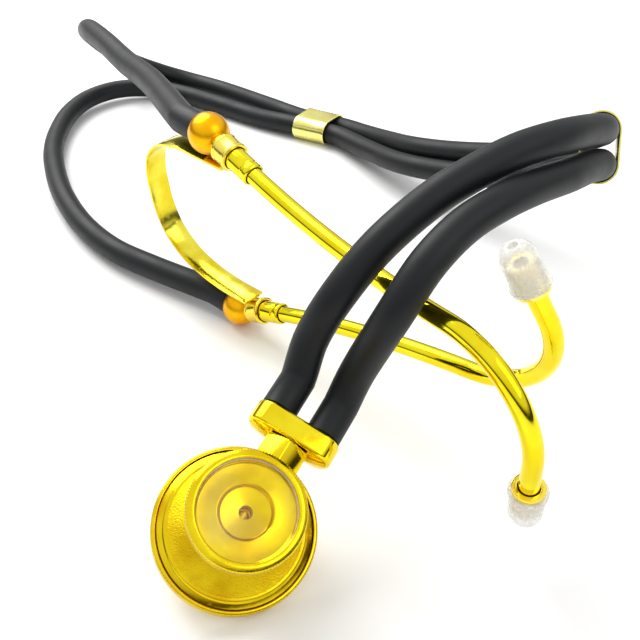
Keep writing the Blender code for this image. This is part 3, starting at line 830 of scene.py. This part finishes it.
# ---- hoses ----------------------------------------------------------------------
@dataclass
class Hoses:
    """The two rubber hoses and the clips that hold them side by side."""

    setting: Setting
    radius: float = 5.3
    pitch: float = 14.5
    start: float = 31.8
    grip: float = 11.0
    pair_half: float = 5.65
    clip_run: float = 15.0
    clip_length: float = 20.0
    clip_wall: float = 0.8
    clip_gap: float = 0.5
    ball_radius: float = 7.25
    shift: Vector = field(default_factory=lambda: Vector((-0.15, -221.02, 0.06)))
    clips: tuple = (
        ((96.2, 273.0, 79.0), (0.27, 0.87, -0.415), (0.017, 0.426, 0.905)),
        ((-1.0, 460.5, 6.7), (-0.86, 0.51, 0.0), (0.51, 0.86, 0.0)))
    arch_a: tuple = (
        (-2.4, 194.6, 56.3), (4.8, 195.6, 70.1), (15.7, 201.3, 82.5), (30.2, 210.0, 92.0),
        (44.0, 217.9, 97.2), (56.8, 225.0, 100.3), (70.6, 234.6, 100.0), (83.6, 250.0, 95.2))
    arch_b: tuple = (
        (10.9, 188.1, 49.6), (19.4, 184.3, 71.2), (28.4, 190.1, 84.3), (38.9, 200.3, 89.8),
        (49.5, 209.0, 91.9), (61.2, 219.6, 91.3), (74.0, 232.3, 88.6), (85.2, 248.0, 83.9))
    pair: tuple = (
        ((103.2, 306.5, 62.0), (0.10, 0.50, 0.86)), ((98.5, 331.0, 47.5), (0.20, 0.60, 0.78)),
        ((83.0, 352.0, 34.5), (0.32, 0.66, 0.68)), ((62.0, 373.0, 26.0), (0.49, 0.64, 0.58)),
        ((43.5, 396.0, 19.0), (0.63, 0.54, 0.455)), ((30.5, 422.5, 12.2), (0.75, 0.45, 0.26)),
        ((21.0, 440.0, 8.6), (0.80, 0.58, 0.10)))
    tail_a: tuple = (
        (-32.0, 494.0, 5.7), (-60.5, 518.0, 6.0), (-84.0, 531.0, 7.5), (-103.0, 529.5, 14.0),
        (-117.0, 513.5, 26.5), (-124.5, 492.5, 42.5), (-125.5, 468.0, 57.5),
        (-117.5, 440.0, 67.5), (-103.0, 409.0, 71.5), (-85.5, 372.0, 74.5),
        (-68.0, 335.5, 79.0))
    tail_b: tuple = (
        (-36.0, 475.5, 5.7), (-58.0, 492.5, 5.6), (-82.0, 509.5, 5.8), (-104.0, 519.5, 6.4),
        (-125.0, 517.0, 7.0), (-140.0, 503.0, 7.0), (-147.5, 482.0, 6.4),
        (-148.5, 457.0, 5.8), (-145.0, 430.0, 5.6), (-137.0, 403.0, 5.6),
        (-125.5, 375.0, 5.6), (-110.0, 348.0, 5.7), (-92.0, 326.0, 6.2),
        (-71.5, 309.5, 7.0))

    def beside(self, centre: Vector, side_way: Vector, sign: float) -> Vector:
        """Return the point of one hose beside the middle of the pair."""
        return centre + sign * self.pair_half * side_way.normalized()

    def clip_points(self, which: int, sign: float) -> list[Vector]:
        """Return a hose's points on its straight stretch through a clip."""
        centre, axis, side_way = (Vector(part) for part in self.clips[which])
        step = axis.normalized() * self.clip_run
        return [self.beside(centre + self.shift + share * step, side_way, sign)
                for share in (-1.0, 0.0, 1.0)]

    def route(self, sign: float, side: str) -> list[Vector]:
        """Return a hose's route points.

        Args:
            sign: 1 for hose a and -1 for hose b.
            side: the ball that the hose ends in.

        Returns:
            Its points in millimetres.
        """
        arch, tail = (self.arch_a, self.tail_a) if sign > 0 else (self.arch_b, self.tail_b)
        x = -sign * 0.5 * self.pitch
        points = [self.setting.chest @ (Vector((x, self.start + run, 0.0)) * MM) / MM
                  for run in (0.0, 0.5 * self.grip, self.grip)]
        points += [Vector(point) + self.shift for point in arch]
        points += self.clip_points(0, sign)
        points += [self.beside(Vector(point) + self.shift, Vector(way), sign)
                   for point, way in self.pair]
        points += self.clip_points(1, sign)
        points += [Vector(point) + self.shift for point in tail]
        ball = self.setting.balls[side] / MM
        seat = math.sqrt(self.ball_radius ** 2 - self.radius ** 2) + GAP
        points += [ball - self.setting.level[side] * (seat + self.grip * share)
                   for share in (1.0, 0.5, 0.0)]
        return points

    def band(self, name: str, which: int) -> bpy.types.Object:
        """Model a clip: a ring is parted into two halves, extruded and given its wall."""
        centre, axis, side_way = (Vector(part) for part in self.clips[which])
        place = axes_matrix((centre + self.shift) * MM, axis, axis.cross(side_way))
        inner = self.radius + self.clip_gap
        piece = add_ring(64, inner + 0.5 * self.clip_wall, -0.5 * self.clip_length, False,
                         math.pi / 64)
        part_halves(piece, self.pair_half)
        # a shallow rolled lip stands at both ends of the band
        for rise, grow in ((1.2, 1.0), (0.5, 0.985), (self.clip_length - 3.4, 1.0),
                           (0.5, 1.0 / 0.985), (1.2, 1.0)):
            extend(rise, grow, grow)
        bpy.ops.object.mode_set(mode="OBJECT")
        mend(piece)
        wall = piece.modifiers.new("wall", "SOLIDIFY")
        wall.thickness = self.clip_wall * MM
        wall.offset = 0.0
        apply_modifiers(piece)
        add_bevel(piece, 0.18, 2)
        settle(piece, name, place)
        smooth(piece)
        return piece

    def build(self) -> None:
        """Lay the hoses and close the clips round them."""
        band_gold = GoldPlate("clip_gold", (0.90, 0.86, 0.30), (0.88, 0.80, 0.20), 0.2)
        look = band_gold.material()
        for which, node in enumerate(("front_clip", "rear_clip")):
            band = self.band(node + "_band", which)
            finish_piece(band, look, "root", (node,))
        rubber = HoseRubber().material()
        for name, sign, side in (("hose_a", 1.0, "left"), ("hose_b", -1.0, "right")):
            path = [point * MM for point in smooth_path(self.route(sign, side), 3.0, 2)]
            line = round_line(name + "_rubber", path, self.radius, 24)
            finish_piece(line, rubber, "root", (name,))
            path_length(path)


# ---- chestpiece -----------------------------------------------------------------
@dataclass
class Chestpiece:
    """The turning head with its two sides, the stem and the hose connector."""

    setting: Setting
    drum_radius: float = 8.5
    drum_half: float = 5.5
    nipple_radius: float = 4.5
    nipple_top: float = 8.9
    channel: float = 1.6
    click_bore: float = 1.4
    click_y: float = 3.4
    large_ring: float = 23.5
    large_rim: float = 21.9
    small_ring: float = 15.75
    small_rim: float = 14.1
    steps: int = 160
    hex_span: tuple[float, float] = (15.8, 24.2)
    hex_flats: float = 12.6
    bar_span: tuple[float, float] = (24.5, 31.5)
    bar_width: float = 12.0
    bar_pitch: float = 14.5
    stem_radius: float = 3.0
    barb_radius: float = 2.3

    def head(self) -> None:
        """Model the drum and the two cups."""
        place = self.setting.chest
        deep = GoldPlate("drum_gold", (0.85, 0.60, 0.010), (0.60, 0.34, 0.006), 0.07).material()
        half, top = self.drum_half, self.nipple_top
        drum = [(self.channel, top), (self.nipple_radius, top), (self.nipple_radius, half),
                (self.drum_radius - 0.5, half), (self.drum_radius, half - 0.5),
                (self.drum_radius, 1.2), (self.drum_radius - 0.25, 0.9),
                (self.drum_radius - 0.25, -0.9), (self.drum_radius, -1.2),
                (self.drum_radius, -half + 0.5), (self.drum_radius - 0.5, -half),
                (self.nipple_radius, -half), (self.nipple_radius, -top), (self.channel, -top)]
        body = turned("drum_body", drum, place, 96)
        drill(body, place, self.stem_radius + GAP, ((0.0, -3.8, 0.0), (0.0, 10.5, 0.0)))
        drill(body, place, self.click_bore, ((-10.5, self.click_y, 0.0), (0.0, self.click_y, 0.0)))
        smooth(body)
        finish_piece(body, deep, "chest_head", ("valve_drum",))

        neck = half + GAP
        socket = self.nipple_radius + GAP
        large = [(socket, -neck), (9.2, -neck), (10.2, -neck - 0.5), (10.9, -neck - 1.3),
                 (13.0, -8.1), (16.6, -9.7), (19.0, -10.75), (19.4, -10.65), (20.0, -10.9),
                 (20.4, -11.4), (self.large_rim, -12.1), (self.large_rim, -14.9),
                 (20.3, -14.9), (19.6, -13.9), (8.0, -12.2), (self.channel, -11.6),
                 (self.channel, -9.3), (socket, -9.3)]
        stipple = GoldPlate("cone_gold", (0.86, 0.64, 0.012), (0.70, 0.44, 0.006), 0.14,
                            Edge.STIPPLED, band=(10.8, 19.4))
        finish_piece(turned("large_cup_turned", large, place, self.steps),
                     stipple.material(place), "chest_head", ("large_cup",))

        small = [(self.channel, 9.3), (self.channel + 0.2, 9.9), (6.6, 9.9), (7.1, 10.7),
                 (7.5, 11.1), (8.1, 11.0), (12.6, 11.0), (13.0, 11.3), (13.3, 12.2),
                 (self.small_rim, 12.2), (self.small_rim, 9.6), (15.2, 9.6), (15.2, 7.7),
                 (14.5, 7.3), (11.0, 6.4), (9.2, neck), (socket, neck), (socket, 9.3)]
        rings = GoldPlate("bell_gold", (0.84, 0.62, 0.010), (0.70, 0.46, 0.006), 0.10, Edge.TURNED)
        finish_piece(turned("small_cup_turned", small, place, self.steps),
                     rings.material(place), "chest_head", ("small_cup",))

    def rings(self) -> None:
        """Model the two retaining rings with their knurled rims."""
        place = self.setting.chest
        outer, inner = self.large_ring, self.large_rim + GAP
        large = [(inner, -11.8), (outer - 0.7, -11.8), (outer - 0.15, -12.1),
                 (outer - 0.15, -12.6), (outer, -12.75), (outer, -16.2), (outer - 0.15, -16.35),
                 (outer - 0.15, -16.9), (outer - 0.7, -17.4), (20.4, -17.4), (20.0, -17.2),
                 (20.0, -16.7), (inner, -16.7)]
        knurl = GoldPlate("large_ring_gold", (0.90, 0.68, 0.015), (0.78, 0.52, 0.008), 0.12,
                          Edge.KNURLED, 170, (outer - 0.45, outer - 0.1))
        finish_piece(turned("large_ring_turned", large, place, 192),
                     knurl.material(place), "large_ring",
                     ("large_retaining_ring",))
        outer, inner = self.small_ring, self.small_rim + GAP
        small = [(13.2, 14.1), (13.35, 14.4), (13.7, 14.5), (outer - 1.2, 14.5),
                 (outer - 0.9, 14.35), (outer - 0.2, 14.0), (outer, 13.6), (outer, 10.1),
                 (outer - 0.2, 9.9), (inner, 9.9), (inner, 13.85), (13.2, 13.85)]
        knurl = GoldPlate("small_ring_gold", (0.92, 0.72, 0.015), (0.80, 0.55, 0.008), 0.10,
                          Edge.KNURLED, 120, (outer - 0.4, outer - 0.1))
        finish_piece(turned("small_ring_turned", small, place, 160),
                     knurl.material(place), "small_ring",
                     ("small_retaining_ring",))

    def stem(self) -> None:
        """Model the stem with its collar."""
        place = lay_down(self.setting.chest)
        radius = self.stem_radius
        profile = [(0.0, -3.5), (radius - 0.3, -3.5), (radius, -3.2), (radius, 8.9), (4.0, 8.9),
                   (4.5, 9.3), (4.5, 10.3), (4.1, 10.7), (4.1, 11.7), (4.5, 12.1), (4.5, 15.1),
                   (4.0, 15.5), (radius, 15.5), (radius, 27.8), (0.0, 27.8)]
        look = GoldPlate("stem_gold", roughness=0.07).material()
        finish_piece(turned("stem_turned", profile, place, 64), look, "root",
                     ("valve_stem",))
        low, high = self.hex_span
        corner = 0.5 * self.hex_flats / math.cos(math.radians(30.0))
        collar = add_ring(6, corner * 0.93, low, True)
        for rise, grow in ((0.5, 1.0 / 0.93), (high - low - 1.0, 1.0), (0.5, 0.93)):
            extend(rise, grow, grow)
        bpy.ops.object.mode_set(mode="OBJECT")
        mend(collar)
        add_bevel(collar, 0.35, 3)
        settle(collar, "collar_block", place)
        drill(collar, place, radius + GAP, ((0.0, 0.0, low - 1.0), (0.0, 0.0, high + 1.0)))
        smooth(collar)
        finish_piece(collar, look, "root", ("hex_collar",))

    def connector(self) -> None:
        """Model the round-ended bar that carries the two hoses."""
        low, high = self.bar_span
        radius = 0.5 * self.bar_width
        edge = 0.7
        bar = add_ring(96, radius - edge, low, True, math.pi / 96)
        part_halves(bar, 0.5 * self.bar_pitch)
        wide = 0.5 * self.bar_pitch + radius
        wider, deeper = wide / (wide - edge), radius / (radius - edge)
        extend(edge, wider, deeper)
        extend(high - low - 2.0 * edge, 1.0, 1.0)
        extend(edge, 1.0 / wider, 1.0 / deeper)
        bpy.ops.object.mode_set(mode="OBJECT")
        mend(bar)
        add_bevel(bar, 0.3, 3)
        place = lay_down(self.setting.chest)
        settle(bar, "connector_bar", place)
        drill(bar, place, self.stem_radius + GAP, ((0.0, 0.0, low - 1.0), (0.0, 0.0, 28.1)))
        for x in (-0.5 * self.bar_pitch, 0.5 * self.bar_pitch):
            drill(bar, place, self.barb_radius + GAP, ((x, 0.0, high - 5.0), (x, 0.0, high + 1.0)))
        smooth(bar)
        look = GoldPlate("connector_gold", (0.93, 0.76, 0.020), (0.85, 0.64, 0.010), 0.08)
        finish_piece(bar, look.material(), "root", ("hose_connector",))

    def build(self) -> None:
        """Model the whole chestpiece."""
        self.head()
        self.rings()
        self.stem()
        self.connector()


# ---- headset --------------------------------------------------------------------
@dataclass
class Headset:
    """The two ear tubes with their balls, sleeves and tips, and the leaf spring."""

    setting: Setting
    elbow_radius: float = 30.0
    end_length: float = 16.0
    sleeve_end: float = 26.0
    sleeve_radius: float = 4.0
    tube_radius: float = 3.0
    tube_start: float = 8.0
    ball_radius: float = 7.25
    ball_pitch: float = 77.8
    cuff_span: tuple[float, float] = (8.5, 15.5)
    cuff_radius: float = 5.3
    spring_half: float = 30.0
    spring_depth: float = 42.0
    spring_front: float = 10.0
    spring_width: float = 9.0
    spring_thickness: float = 1.0

    def arm_path(self, shape: ArmShape) -> list[Vector]:
        """Return an ear tube's middle line in world axes, from its ball's centre, in mm."""
        bow, lift = self.setting.bow, self.setting.lift
        heading = shape.toe_in + 0.5 * bow
        first = heading
        flat = [(0.0, 0.0)]
        stretches = ((self.sleeve_end, 0.0, 1), (shape.leg - self.sleeve_end, -bow, 24),
                     (self.elbow_radius * shape.elbow, shape.elbow, 40),
                     (self.end_length, 0.0, 1))
        for length, turn, steps in stretches:
            for _ in range(steps):
                heading += 0.5 * turn / steps
                x, y = flat[-1]
                flat.append((x - math.sin(heading) * length / steps,
                             y + math.cos(heading) * length / steps))
                heading += 0.5 * turn / steps
        ahead = Vector((-math.sin(first), math.cos(first), 0.0))
        outward = Vector((math.cos(first), math.sin(first), 0.0))
        line = []
        for x, y in flat:
            point = Vector((x, y, 0.0))
            run, inward = point.dot(ahead), -point.dot(outward)
            bent = ahead * run - outward * inward * math.cos(shape.twist)
            bent.z = inward * math.sin(shape.twist)
            bent = Matrix.Rotation(-shape.sign * lift, 3, "X") @ bent
            local = Vector((shape.sign * (0.5 * self.ball_pitch + bent.x), bent.y, bent.z))
            line.append(self.setting.headset @ (local * MM) / MM)
        return line

    def ball(self, shape: ArmShape, level: Matrix) -> None:
        """Model the ball that an ear tube turns on and a hose ends in."""
        radius, seat_radius = self.ball_radius, 5.3
        seat = -math.sqrt(radius ** 2 - seat_radius ** 2)
        start = math.asin(1.6 / radius)
        end = math.pi - math.asin(seat_radius / radius)
        count = 28
        profile = [(radius * math.sin(start + (end - start) * i / count),
                    radius * math.cos(start + (end - start) * i / count))
                   for i in range(count + 1)]
        profile += [(2.6, seat), (2.6, -2.0), (1.6, -2.0)]
        look = GoldPlate(shape.side + "_ball_gold", (1.0, 0.55, 0.008), (0.95, 0.42, 0.004), 0.3)
        piece = turned(shape.side + "_ball_turned", profile, level, 96, 0.05)
        finish_piece(piece, look.material(), "root", (shape.side + "_ball",))

    def sleeve(self, shape: ArmShape, open_arm: Matrix) -> None:
        """Model the sleeve and the leaf's cuff round an ear tube's first stretch."""
        body = shape.side + "_arm"
        socket = self.ball_radius + GAP
        inner, outer, end = self.tube_radius + GAP, self.sleeve_radius, self.sleeve_end
        profile = [(inner, end), (outer - 0.5, end), (outer, end - 0.5), (outer, end - 2.2),
                   (outer - 0.3, end - 2.5), (outer - 0.3, end - 3.3), (outer, end - 3.6),
                   (outer, math.sqrt(socket ** 2 - outer ** 2)),
                   (inner, math.sqrt(socket ** 2 - inner ** 2))]
        look = GoldPlate(shape.side + "_sleeve_gold", (0.93, 0.80, 0.025), (0.88, 0.70, 0.010), 0.1)
        piece = turned(shape.side + "_sleeve_turned", profile, open_arm, 64)
        finish_piece(piece, look.material(), body, (shape.side + "_ferrule",))
        low, high = self.cuff_span
        bore, rim = self.sleeve_radius + GAP, self.cuff_radius
        profile = [(bore, high), (rim - 0.3, high), (rim, high - 0.3), (rim, high - 1.0),
                   (rim - 0.2, high - 1.3), (rim - 0.2, low + 1.3), (rim, low + 1.0),
                   (rim, low + 0.3), (rim - 0.3, low), (bore, low)]
        look = GoldPlate(shape.side + "_cuff_gold", (0.98, 0.84, 0.14), (0.93, 0.72, 0.07), 0.16)
        piece = turned(shape.side + "_cuff_turned", profile, open_arm, 64)
        finish_piece(piece, look.material(), body, (shape.side + "_cuff",))

    def tube(self, shape: ArmShape, line: list[Vector]) -> None:
        """Model the bent ear tube."""
        ahead = (line[1] - line[0]).normalized()
        path = [line[0] + ahead * self.tube_start] + line[1:]
        curve = round_line(shape.side + "_ear_tube_bent", [p * MM for p in path],
                           self.tube_radius, 32)
        look = GoldPlate(shape.side + "_tube_gold", (0.93, 0.80, 0.020), (0.88, 0.70, 0.010), 0.06)
        finish_piece(as_mesh(curve), look.material(), shape.side + "_arm",
                     (shape.side + "_ear_tube",))

    def tip(self, shape: ArmShape, place: Matrix) -> None:
        """Model the screwed core and the soft tip on it."""
        inner = self.tube_radius + GAP
        core = [(2.0, 4.0), (3.3, 4.0), (3.7, 3.6)]
        turns = 9
        for i in range(turns):
            core += [(4.2, 3.2 - 0.84 * i), (3.75, 2.8 - 0.84 * i)]
        core += [(4.2, -4.6), (4.9, -4.6), (4.9, -6.0), (inner, -6.0), (inner, 0.3), (2.0, 0.3)]
        look = GoldPlate(shape.side + "_core_gold", (1.0, 0.86, 0.16), (1.0, 0.74, 0.07), 0.16)
        piece = turned(shape.side + "_core_turned", core, place, 64, 0.1)
        finish_piece(piece, look.material(), shape.side + "_arm",
                     (shape.side + "_tip_core",))
        soft = [(1.4, 9.6), (1.9, 9.7), (2.6, 9.5), (3.4, 9.0), (4.1, 8.2), (4.6, 7.3),
                (4.9, 6.3), (5.05, 5.2), (5.1, 1.0), (5.15, -2.4), (5.4, -2.8), (5.8, -3.1),
                (5.8, -4.1), (5.6, -4.3), (4.6, -4.3), (4.5, 4.3), (1.4, 5.2)]
        look = ClearSoft(shape.side + "_tip_vinyl", (0.93, 0.94, 0.92), (0.98, 0.98, 0.97), 0.22,
                         0.58, 0.35)
        piece = turned(shape.side + "_tip_moulded", soft, place, 80, 0.3)
        finish_piece(piece, look.material(), shape.side + "_tip",
                     (shape.side + "_ear_tip",))

    def spring_end(self, shape: ArmShape) -> float:
        """Return how far from the middle the leaf ends, against the inside of a cuff."""
        heading = shape.toe_in + 0.5 * self.setting.bow
        inside = (0.5 * self.ball_pitch - self.spring_front * math.tan(heading)
                  - self.cuff_radius / math.cos(heading))
        return inside - GAP - 0.5 * self.spring_thickness

    def leaf(self) -> None:
        """Model the leaf spring behind the balls."""
        half, depth = self.spring_half, self.spring_depth
        ends = {shape.side: self.spring_end(shape) for shape in self.setting.shapes}
        bend = [(half, -4.0), (0.975 * half, -0.4 * depth), (0.86 * half, -0.68 * depth),
                (0.6 * half, -0.9 * depth), (0.27 * half, -0.99 * depth)]
        knots = [(ends["left"], self.spring_front)] + bend + [(0.0, -depth)]
        knots += [(-x, y) for x, y in reversed(bend)] + [(-ends["right"], self.spring_front)]
        path = smooth_path([Vector((x, y, 0.0)) for x, y in knots], 2.0)
        strip = swept_strip("leaf_strip", path, self.spring_width, self.spring_thickness,
                            self.setting.headset)
        look = GoldPlate("leaf_gold", (0.90, 0.80, 0.08), (0.76, 0.60, 0.02), 0.13)
        finish_piece(strip, look.material(), "root", ("leaf_spring",))

    def build(self) -> None:
        """Model the whole headset."""
        normal = joint_axis("right_arm_open")
        for shape in self.setting.shapes:
            line = self.arm_path(shape)
            ball = self.setting.balls[shape.side]
            self.ball(shape, axes_matrix(ball, self.setting.level[shape.side], normal))
            self.sleeve(shape, axes_matrix(ball, self.setting.ahead[shape.side], normal))
            self.tube(shape, line)
            self.tip(shape, axes_matrix(line[-1] * MM, line[-1] - line[-2], normal))
        self.leaf()


# ---- carried-over pieces --------------------------------------------------------
@dataclass
class SmallPieces:
    """The pieces whose shape stays as it is: they only get their finishes."""

    films: tuple[str, ...] = ("large_diaphragm", "small_diaphragm")
    gaskets: tuple[str, ...] = ("large_gasket", "small_gasket")
    steels: tuple[str, ...] = ("click_ball", "click_spring")
    golds: tuple[str, ...] = ("click_plug", "chest_barb_a", "chest_barb_b", "left_barb",
                              "right_barb")

    def build(self) -> None:
        """Dress each carried-over piece."""
        film = ClearSoft("diaphragm_film", (0.95, 0.84, 0.35), (0.98, 0.90, 0.50), 0.05,
                         0.02, 0.0, 60.0)
        gasket = PlainHard("gasket_white", (0.85, 0.84, 0.79), (0.78, 0.77, 0.72), 0.0, 0.45)
        steel = PlainHard("spring_steel", (0.56, 0.57, 0.59), (0.44, 0.45, 0.46), 1.0, 0.22)
        gold = GoldPlate("barb_gold")
        for names, finish in ((self.films, film), (self.gaskets, gasket), (self.steels, steel),
                              (self.golds, gold)):
            look = finish.material()
            for name in names:
                mesh = frame["nodes"][name].data
                mesh.materials.clear()
                mesh.materials.append(look)
                LOG.info("piece %s keeps its shape", name)


def main() -> None:
    """Build the studio and the stethoscope."""
    logging.basicConfig(level=logging.INFO)
    studio = Studio()
    studio.place_camera()
    setting = Setting()
    for part in (Hoses(setting), Chestpiece(setting), Headset(setting), SmallPieces()):
        part.build()
    studio.build()
    fresh_start()


if __name__ == "__main__":
    main()
